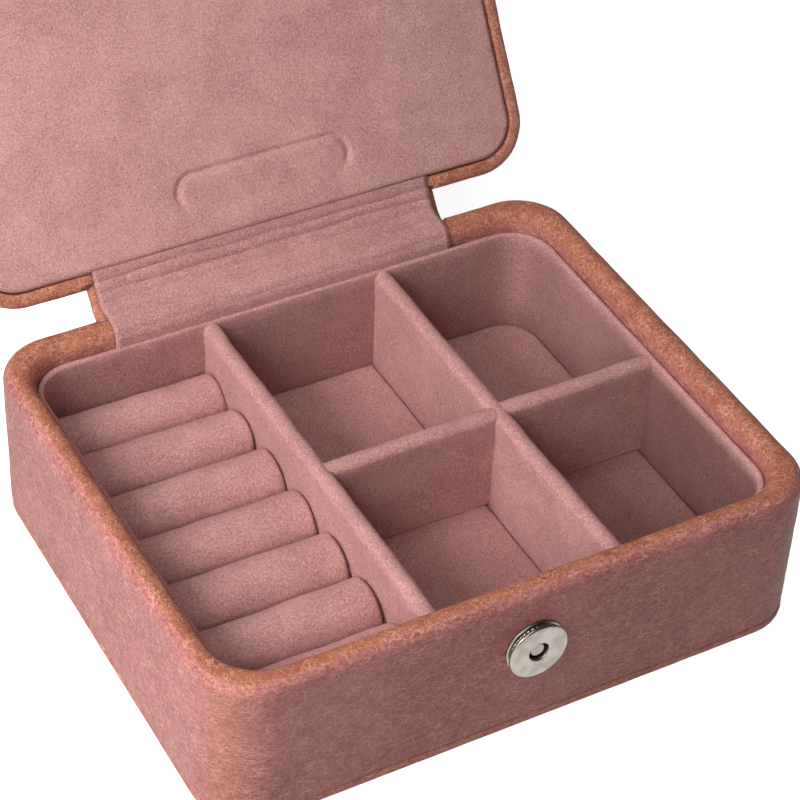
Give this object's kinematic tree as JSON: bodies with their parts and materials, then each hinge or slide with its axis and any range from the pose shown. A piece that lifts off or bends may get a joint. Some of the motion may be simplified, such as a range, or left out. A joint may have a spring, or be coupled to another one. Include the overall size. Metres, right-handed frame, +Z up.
{
  "type": "jewellery case",
  "caption": "Leather jewellery case with a padded lid on a leather spine, a ring-roll tray, divided compartments and a tab that closes on a magnetic snap.",
  "frame": {"origin": "centre of the flat underside of the base", "axes": "+Z up, +Y from the snap at the front to the spine at the back, +X along the front to the right, with the ring rolls on the -X side"},
  "size_m": [0.145, 0.2051, 0.1712],
  "materials": {
    "leather": "waxed pull-up leather, fine grain, lighter and more orange where it is bent over an edge",
    "suede": "dusty rose suede, short soft nap",
    "grey_board": "matt grey bookbinding board",
    "foam": "fine open foam",
    "nickel": "polished nickel plate",
    "magnet": "dark ferrite"
  },
  "bodies": {
    "base": {"base_bottom_board": "grey_board", "base_bottom_cover": "leather", "base_cover": "leather", "base_rim_bead": "foam", "base_wall_board": "grey_board", "centre_divider_board": "grey_board", "centre_divider_cover": "suede", "cross_divider_left_board": "grey_board", "cross_divider_left_cover": "suede", "cross_divider_right_board": "grey_board", "cross_divider_right_cover": "suede", "floor_cards": "grey_board", "floor_pad_back_left": "suede", "floor_pad_back_right": "suede", "floor_pad_front_left": "suede", "floor_pad_front_right": "suede", "ring_divider_board": "grey_board", "ring_divider_cover": "suede", "ring_roll_1": "suede", "ring_roll_2": "suede", "ring_roll_3": "suede", "ring_roll_4": "suede", "ring_roll_5": "suede", "ring_roll_6": "suede", "ring_roll_7": "suede", "ring_roll_bed": "foam", "ring_roll_cores": "foam", "snap_socket_cap": "nickel", "snap_socket_magnet": "magnet", "snap_socket_rivet": "nickel", "snap_socket_washer": "nickel", "spine_leather": "leather", "spine_lining": "suede", "tray_card": "grey_board", "tray_lining": "suede"},
    "lid": {"lid_cover": "leather", "lid_filler": "foam", "lid_pad_board": "grey_board", "lid_pad_cover": "suede", "lid_pad_foam": "foam", "lid_top_board": "grey_board", "lid_wall_board": "grey_board", "tab_anchor": "leather"},
    "closing_tab": {"snap_stud_plate": "nickel", "snap_stud_washer": "nickel", "tab_leather": "leather", "tab_lining": "suede"}
  },
  "joints": [
    {"name": "lid_hinge", "type": "hinge", "parent": "base", "child": "lid", "pos_m": [0, 0.0637, 0.0409], "axis": [-1, 0, 0], "range_deg": [-122, 58], "deforming": ["spine_leather", "spine_lining"]},
    {"name": "tab_flex", "type": "hinge", "parent": "lid", "child": "closing_tab", "pos_m": [0, 0.13069, 0.14679], "axis": [-1, 0, 0], "range_deg": [-12, 88]}
  ]
}
